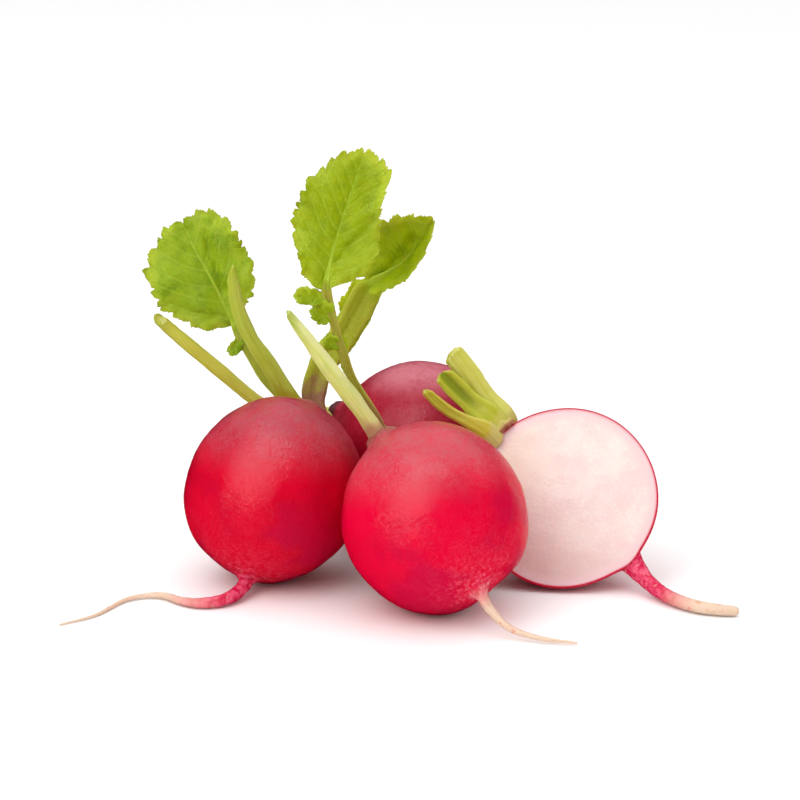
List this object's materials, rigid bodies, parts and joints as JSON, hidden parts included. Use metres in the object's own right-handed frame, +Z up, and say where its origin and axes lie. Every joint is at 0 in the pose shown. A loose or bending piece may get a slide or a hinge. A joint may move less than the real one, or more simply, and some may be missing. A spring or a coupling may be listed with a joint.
{
  "type": "bunch of radishes",
  "caption": "Loose bunch of round red radishes with thin taproots, trimmed leaf stalks and young toothed leaves, with a halved root that shows its pale flesh.",
  "frame": {"origin": "on the surface that the bunch lies on, under the middle of its bounding box", "axes": "+Z up, +X along the row of roots, with the halved root at the +X end, +Y to the back, away from the halved root's cut face"},
  "size_m": [0.1153, 0.0717, 0.0761],
  "materials": {
    "red_skin": "smooth waxy radish skin, deep crimson, satin gloss",
    "flesh": "moist white cut flesh with a faint pink tinge and faint rays",
    "stalk": "ribbed pale yellow-green leaf stalk, reddish at the base",
    "leaf": "soft translucent green leaf with pale veins"
  },
  "bodies": {
    "root": {"left_root": "red_skin", "front_root": "red_skin", "back_root": "red_skin", "half_skin": "red_skin", "half_flesh": "flesh", "left_stalk_low": "stalk", "left_stalk_high": "stalk", "front_stalk": "stalk", "back_stalk_1": "stalk", "back_stalk_2": "stalk", "back_stalk_3": "stalk", "half_stalk_1": "stalk", "half_stalk_2": "stalk", "half_stalk_3": "stalk", "left_leaf_round": "leaf", "left_leaf_folded": "leaf", "front_leaf_tall": "leaf"}
  },
  "joints": []
}
